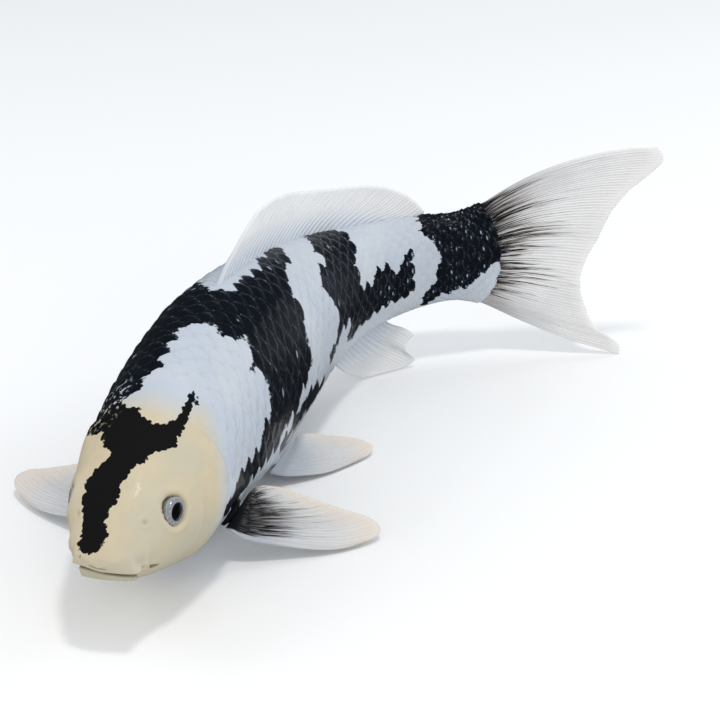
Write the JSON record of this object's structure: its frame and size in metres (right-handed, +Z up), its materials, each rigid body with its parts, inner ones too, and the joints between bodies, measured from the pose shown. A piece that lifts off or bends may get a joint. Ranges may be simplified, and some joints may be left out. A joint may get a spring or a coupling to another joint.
{
  "type": "koi carp figure",
  "caption": "Hollow moulded koi carp figure in a swimming bend, with plug-in turning paired fins, glued dorsal, anal and tail fins and inset eyes.",
  "frame": {"origin": "on the table plane, in the middle of the flat the belly rests on, under the backbone", "axes": "+Z up, head faces -Y, the fish's left side is +X"},
  "size_m": [0.1867, 0.2364, 0.0846],
  "materials": {
    "painted_shell": "gloss white and black paint over moulded soft vinyl, satin cream head",
    "fin": "translucent pearly white moulded plastic with black brush strokes at some roots",
    "eye_silver": "silver metallised plastic",
    "eye_black": "gloss black plastic",
    "eye_clear": "clear moulded dome",
    "barbel": "brown painted plastic"
  },
  "bodies": {
    "figure": {"body_shell": "painted_shell", "dorsal_fin": "fin", "anal_fin": "fin", "caudal_fin": "fin", "left_eye_iris": "eye_silver", "right_eye_iris": "eye_silver", "left_eye_pupil": "eye_black", "right_eye_pupil": "eye_black", "left_eye_cornea": "eye_clear", "right_eye_cornea": "eye_clear", "left_barbel": "barbel", "right_barbel": "barbel"},
    "left_pectoral_fin": {"left_pectoral_fin": "fin"},
    "right_pectoral_fin": {"right_pectoral_fin": "fin"},
    "left_pelvic_fin": {"left_pelvic_fin": "fin"},
    "right_pelvic_fin": {"right_pelvic_fin": "fin"}
  },
  "joints": [
    {"name": "left_pectoral_swivel", "type": "hinge", "parent": "figure", "child": "left_pectoral_fin", "pos_m": [0.01735, -0.03509, 0.01505], "axis": [0.858, 0.0205, -0.5132], "range_deg": [0, 25]},
    {"name": "right_pectoral_swivel", "type": "hinge", "parent": "figure", "child": "right_pectoral_fin", "pos_m": [-0.01985, -0.03485, 0.01505], "axis": [0.8577, -0.0312, 0.5132], "range_deg": [-6, 19]},
    {"name": "left_pelvic_swivel", "type": "hinge", "parent": "figure", "child": "left_pelvic_fin", "pos_m": [0.0167, 0.01322, 0.00771], "axis": [0.8739, -0.084, -0.4789], "range_deg": [0, 20]},
    {"name": "right_pelvic_swivel", "type": "hinge", "parent": "figure", "child": "right_pelvic_fin", "pos_m": [-0.01391, 0.01665, 0.00771], "axis": [0.8707, -0.1119, 0.4789], "range_deg": [0, 20]}
  ]
}
